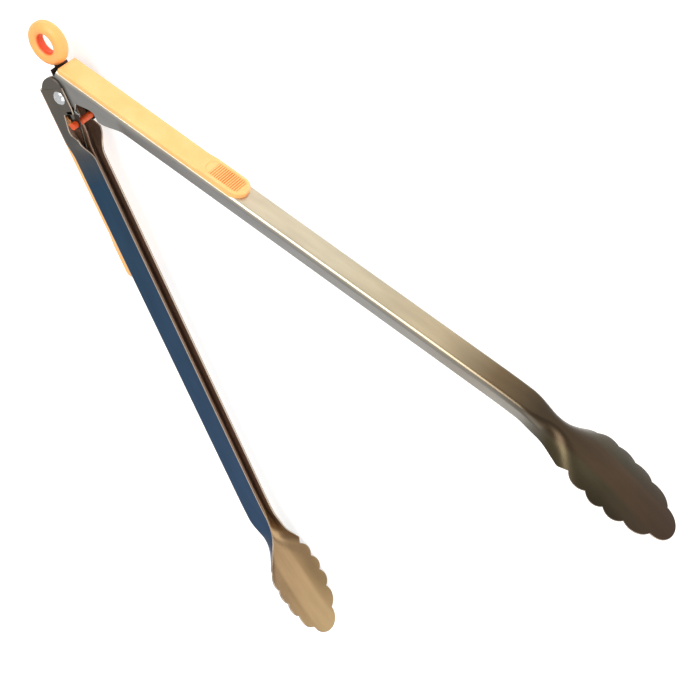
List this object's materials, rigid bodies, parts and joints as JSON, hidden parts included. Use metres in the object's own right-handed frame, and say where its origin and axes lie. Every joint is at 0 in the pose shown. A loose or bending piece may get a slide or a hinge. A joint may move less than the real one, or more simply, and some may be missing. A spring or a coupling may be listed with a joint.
{
  "type": "tongs",
  "caption": "Long spring loaded kitchen tongs: two channel section steel arms with scalloped spoon ends, plastic grips and a pull ring lock",
  "frame": {"origin": "centre of the hang hole through the pull ring, ring pushed in", "axes": "+Z along the hinge rivet; +X along the middle of the opening toward the spoon ends; +Y toward the upper arm; the tongs lie on their side"},
  "size_m": [0.3963, 0.3184, 0.039],
  "materials": {
    "upper_steel": "satin",
    "lower_steel": "satin",
    "orange_plastic": "satin",
    "rivet_steel": "polished",
    "spring_steel": "bright",
    "slider_steel": "satin"
  },
  "bodies": {
    "upper_arm": {"upper_arm": "upper_steel", "upper_grip": "orange_plastic", "torsion_spring": "spring_steel"},
    "lower_arm": {"lower_arm": "lower_steel", "lower_grip": "orange_plastic", "pivot_rivet": "rivet_steel"},
    "ring_lock": {"lock_slider": "slider_steel", "lock_bar": "orange_plastic", "pull_ring": "orange_plastic"}
  },
  "joints": [
    {"name": "arms_close", "type": "hinge", "parent": "upper_arm", "child": "lower_arm", "pos_m": [0.02557, -0.0119, 0], "axis": [0, 0, 1], "range_deg": [0, 47.5], "stiffness_Nm_per_rad": 0.6, "springref_deg": -20.05, "deforming": ["torsion_spring"]},
    {"name": "ring_pull", "type": "slide", "parent": "lower_arm", "child": "ring_lock", "axis": [-0.9067, 0.4218, 0], "range_m": [0, 0.005]}
  ]
}
